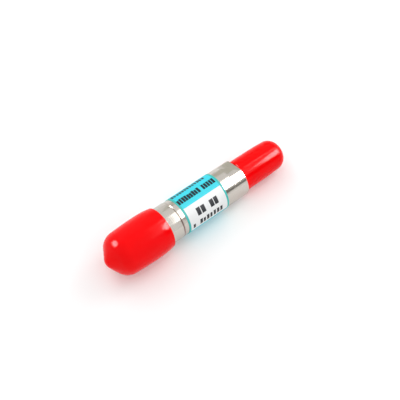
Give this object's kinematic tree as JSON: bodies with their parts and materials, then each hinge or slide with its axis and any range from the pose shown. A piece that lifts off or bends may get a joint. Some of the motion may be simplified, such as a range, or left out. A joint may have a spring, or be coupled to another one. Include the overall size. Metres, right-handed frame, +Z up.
{
  "type": "coaxial fixed attenuator",
  "caption": "Fixed coaxial attenuator: round steel body with a wrapped label, a plug with a hexagon coupling nut, a threaded jack and a soft push-on cap on each end.",
  "frame": {"origin": "on the table under the middle of the overall length", "axes": "+X from the large cap's end towards the small cap's end, +Z up; the turned pieces share one axis that dips 2.46 degrees towards +X, as the part lies on its side"},
  "size_m": [0.0536, 0.0114, 0.0114],
  "materials": {
    "steel": "turned and passivated, satin",
    "gold": "gold plated",
    "spring_bronze": "bright rolled",
    "ptfe": "white, waxy",
    "silicone": "matt",
    "alumina": "fired ceramic, matt",
    "resistor_ink": "printed and fired, matt",
    "silver_ink": "printed and fired, satin",
    "vinyl": "soft moulded vinyl, glossy",
    "label_film": "printed film, semi-gloss"
  },
  "bodies": {
    "attenuator": {"jack_body": "steel", "plug_body": "steel", "retaining_ring": "spring_bronze", "gasket": "silicone", "label": "label_film", "center_pin": "gold", "plug_bead": "ptfe", "center_socket": "gold", "jack_bead": "ptfe", "carrier_lower": "gold", "carrier_upper": "gold", "chip": "alumina", "resistor_film": "resistor_ink", "input_pad": "silver_ink", "output_pad": "silver_ink", "ground_strip_near": "silver_ink", "ground_strip_far": "silver_ink", "input_ribbon": "gold", "output_ribbon": "gold"},
    "nut": {"coupling_nut": "steel"},
    "large_cap": {"plug_cap": "vinyl"},
    "small_cap": {"jack_cap": "vinyl"}
  },
  "joints": [
    {"name": "nut_spin", "type": "hinge", "parent": "attenuator", "child": "nut", "pos_m": [-0.01526, 0, 0.00567], "axis": [0.9991, 0, -0.0429], "continuous": true},
    {"name": "large_cap_pull", "type": "slide", "parent": "attenuator", "child": "large_cap", "axis": [-0.9991, 0, 0.0429], "range_m": [0, 0.012]},
    {"name": "small_cap_pull", "type": "slide", "parent": "attenuator", "child": "small_cap", "axis": [0.9991, 0, -0.0429], "range_m": [0, 0.012]}
  ]
}
